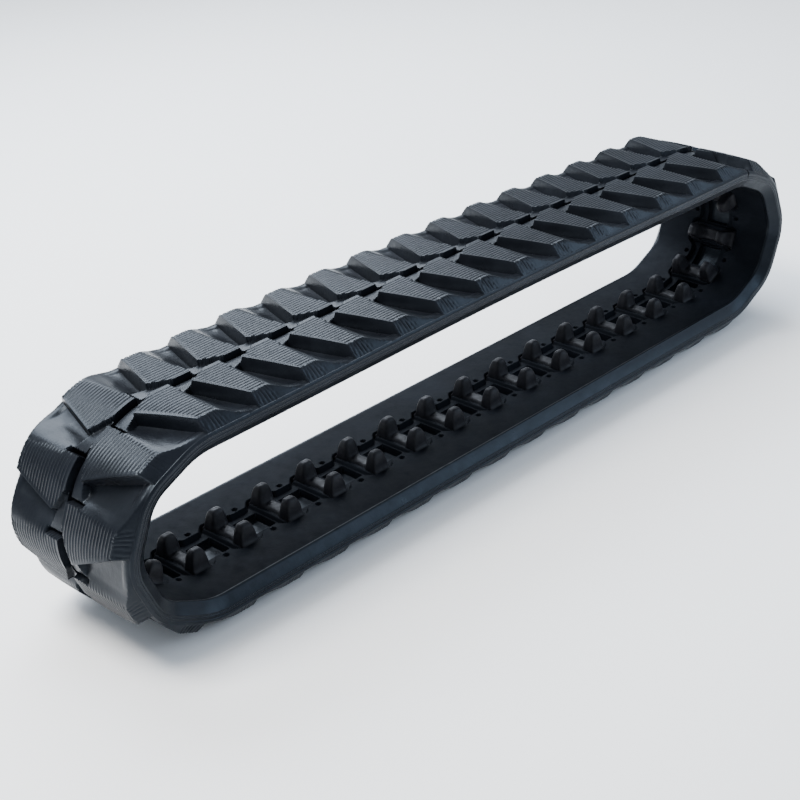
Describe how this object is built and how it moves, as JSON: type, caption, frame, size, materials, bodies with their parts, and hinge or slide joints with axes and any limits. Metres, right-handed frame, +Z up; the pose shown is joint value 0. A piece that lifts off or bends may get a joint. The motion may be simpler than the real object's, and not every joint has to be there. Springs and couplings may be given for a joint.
{
  "type": "rubber track",
  "caption": "Endless steel-core rubber track of a mini excavator, with chevron tread lugs, guide horns and drive pockets, lying as a flattened loop.",
  "frame": {"origin": "middle of the lower run's ground plane, under the centre of the loop", "axes": "+X along the loop, +Y across its width, +Z up"},
  "size_m": [1.248, 0.2, 0.2626],
  "materials": {
    "rubber": "moulded, semi-gloss, with mould release bloom",
    "core": "forged, with thin rubber smears",
    "cord": "brass-plated stranded cord"
  },
  "bodies": {
    "bottom_run": {"bottom_run_rubber": "rubber", "bottom_run_cords_near": "cord", "bottom_run_cords_far": "cord", "core_01": "core", "core_02": "core", "core_03": "core", "core_04": "core", "core_05": "core", "core_06": "core", "core_07": "core", "core_08": "core", "core_09": "core", "core_10": "core", "core_11": "core", "core_12": "core", "core_13": "core", "core_14": "core"},
    "right_lower": {"right_lower_rubber": "rubber", "right_lower_cords_near": "cord", "right_lower_cords_far": "cord", "core_15": "core", "core_16": "core"},
    "right_upper": {"right_upper_rubber": "rubber", "right_upper_cords_near": "cord", "right_upper_cords_far": "cord", "core_17": "core", "core_18": "core"},
    "top_run": {"top_run_rubber": "rubber", "top_run_cords_near": "cord", "top_run_cords_far": "cord", "core_19": "core", "core_20": "core", "core_21": "core", "core_22": "core", "core_23": "core", "core_24": "core", "core_25": "core", "core_26": "core", "core_27": "core", "core_28": "core", "core_29": "core", "core_30": "core", "core_31": "core", "core_32": "core"},
    "left_upper": {"left_upper_rubber": "rubber", "left_upper_cords_near": "cord", "left_upper_cords_far": "cord", "core_33": "core", "core_34": "core"},
    "left_lower": {"left_lower_rubber": "rubber", "left_lower_cords_near": "cord", "left_lower_cords_far": "cord", "core_35": "core", "core_36": "core"}
  },
  "joints": [
    {"name": "left_low_bend", "type": "hinge", "parent": "bottom_run", "child": "left_lower", "pos_m": [-0.50383, 0, 0.03128], "axis": [0, -1, 0], "range_deg": [-4, 12], "stiffness_Nm_per_rad": 900, "springref_deg": -1.33},
    {"name": "left_mid_bend", "type": "hinge", "parent": "left_lower", "child": "left_upper", "pos_m": [-0.59528, 0, 0.12829], "axis": [0, -1, 0], "range_deg": [-24, 8]},
    {"name": "left_top_bend", "type": "hinge", "parent": "left_upper", "child": "top_run", "pos_m": [-0.50383, 0, 0.22531], "axis": [0, -1, 0], "range_deg": [-4, 12]},
    {"name": "right_low_bend", "type": "hinge", "parent": "bottom_run", "child": "right_lower", "pos_m": [0.50383, 0, 0.03128], "axis": [0, -1, 0], "range_deg": [-12, 4]},
    {"name": "right_mid_bend", "type": "hinge", "parent": "right_lower", "child": "right_upper", "pos_m": [0.59528, 0, 0.12829], "axis": [0, -1, 0], "range_deg": [-8, 24]}
  ],
  "couplings": [
    {"joint": "left_mid_bend", "follows": "left_low_bend", "ratio": -2},
    {"joint": "left_top_bend", "follows": "left_low_bend", "ratio": 1},
    {"joint": "right_low_bend", "follows": "left_low_bend", "ratio": -1},
    {"joint": "right_mid_bend", "follows": "left_low_bend", "ratio": 2}
  ]
}
